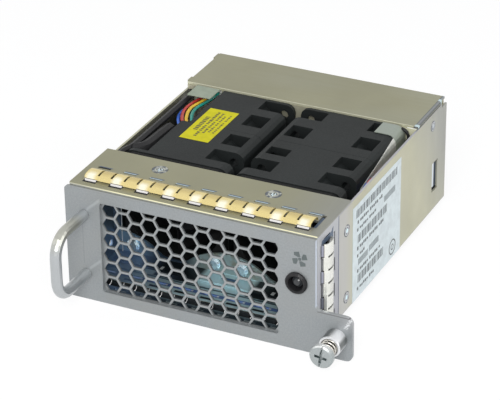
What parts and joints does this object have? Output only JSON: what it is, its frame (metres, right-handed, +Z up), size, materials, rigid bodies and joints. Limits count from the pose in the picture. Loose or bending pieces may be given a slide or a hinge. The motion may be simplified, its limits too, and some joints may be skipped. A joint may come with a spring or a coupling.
{
  "type": "switch fan tray",
  "caption": "Slide-in fan tray: grey faceplate with hexagon grille, pull handle, sprung captive screw and lens, finger-stock strips, and double counter-rotating fans in a bent sheet chassis.",
  "frame": {"origin": "The seat on the back of the faceplate ear, where the tray rests on the switch chassis (mount ear_seat).", "axes": "+X to the right across the faceplate, +Y from the faceplate into the chassis (slide-in direction), +Z up."},
  "size_m": [0.1081, 0.1399, 0.0458],
  "materials": {
    "plate": "satin grey",
    "zinc": "zinc plated sheet",
    "wall_zinc": "zinc plated sheet",
    "gold_fingers": "bright",
    "silver_fingers": "bright",
    "aluminium": "drawn bar",
    "steel": "plated screw",
    "black_plastic": "moulded",
    "blade_plastic": "moulded",
    "lens": "smoked",
    "windings": "wound core",
    "board": "laminate",
    "connector_white": "moulded",
    "foam": "foam gasket",
    "tape": "tape",
    "cable_sleeve": "sleeving",
    "lead_blue": "wire insulation",
    "lead_red": "wire insulation",
    "lead_yellow": "wire insulation",
    "lead_green": "wire insulation"
  },
  "bodies": {
    "chassis": {"faceplate": "plate", "front_frame": "zinc", "tray": "wall_zinc", "rear_cover": "zinc", "fan_bracket": "wall_zinc", "rear_bulkhead": "wall_zinc", "stiffener": "zinc", "top_gasket": "gold_fingers", "bottom_gasket": "silver_fingers", "left_gasket": "silver_fingers", "right_gasket": "silver_fingers", "handle": "aluminium", "handle_screw_high": "steel", "handle_screw_low": "steel", "light_bezel": "black_plastic", "light_lens": "lens", "screw_sleeve": "steel", "screw_spring": "steel", "fan_frame_left_front": "black_plastic", "fan_frame_left_rear": "black_plastic", "fan_frame_right_front": "black_plastic", "fan_frame_right_rear": "black_plastic", "stator_left_front": "windings", "stator_left_rear": "windings", "stator_right_front": "windings", "stator_right_rear": "windings", "fan_screw_1": "steel", "fan_screw_2": "steel", "fan_screw_3": "steel", "fan_screw_4": "steel", "top_screw_left": "steel", "top_screw_right": "steel", "side_screw_high": "steel", "side_screw_low": "steel", "rear_rivet": "steel", "fan_gasket_left": "foam", "fan_gasket_right": "foam", "lead_blue": "lead_blue", "lead_red": "lead_red", "lead_yellow": "lead_yellow", "lead_green": "lead_green", "right_lead_red": "lead_red", "right_lead_blue": "lead_blue", "left_cable": "cable_sleeve", "right_cable": "cable_sleeve", "lead_plug": "connector_white", "left_tape": "tape", "right_tape": "tape", "rear_connector": "black_plastic", "connector_board": "board"},
    "rotor_left_front": {"impeller_left_front": "blade_plastic", "shaft_left_front": "steel"},
    "rotor_left_rear": {"impeller_left_rear": "blade_plastic", "shaft_left_rear": "steel"},
    "rotor_right_front": {"impeller_right_front": "blade_plastic", "shaft_right_front": "steel"},
    "rotor_right_rear": {"impeller_right_rear": "blade_plastic", "shaft_right_rear": "steel"},
    "screw_carrier": {"retaining_ring": "steel"},
    "thumb_screw": {"captive_screw": "steel"}
  },
  "joints": [
    {"name": "fan_spin_left_front", "type": "hinge", "parent": "chassis", "child": "rotor_left_front", "pos_m": [-0.07243, 0.0312, 0.00981], "axis": [0, 1, 0], "continuous": true},
    {"name": "fan_spin_left_rear", "type": "hinge", "parent": "chassis", "child": "rotor_left_rear", "pos_m": [-0.07243, 0.0592, 0.00981], "axis": [0, 1, 0], "continuous": true},
    {"name": "fan_spin_right_front", "type": "hinge", "parent": "chassis", "child": "rotor_right_front", "pos_m": [-0.02973, 0.0312, 0.00981], "axis": [0, 1, 0], "continuous": true},
    {"name": "fan_spin_right_rear", "type": "hinge", "parent": "chassis", "child": "rotor_right_rear", "pos_m": [-0.02973, 0.0592, 0.00981], "axis": [0, 1, 0], "continuous": true},
    {"name": "screw_push", "type": "slide", "parent": "chassis", "child": "screw_carrier", "axis": [0, 1, 0], "range_m": [0, 0.0032], "stiffness_N_per_m": 150, "springref_m": -0.005, "deforming": ["screw_spring"]},
    {"name": "screw_turn", "type": "hinge", "parent": "screw_carrier", "child": "thumb_screw", "pos_m": [0.0029, -0.0012, -0.0056], "axis": [0, 1, 0], "continuous": true}
  ]
}
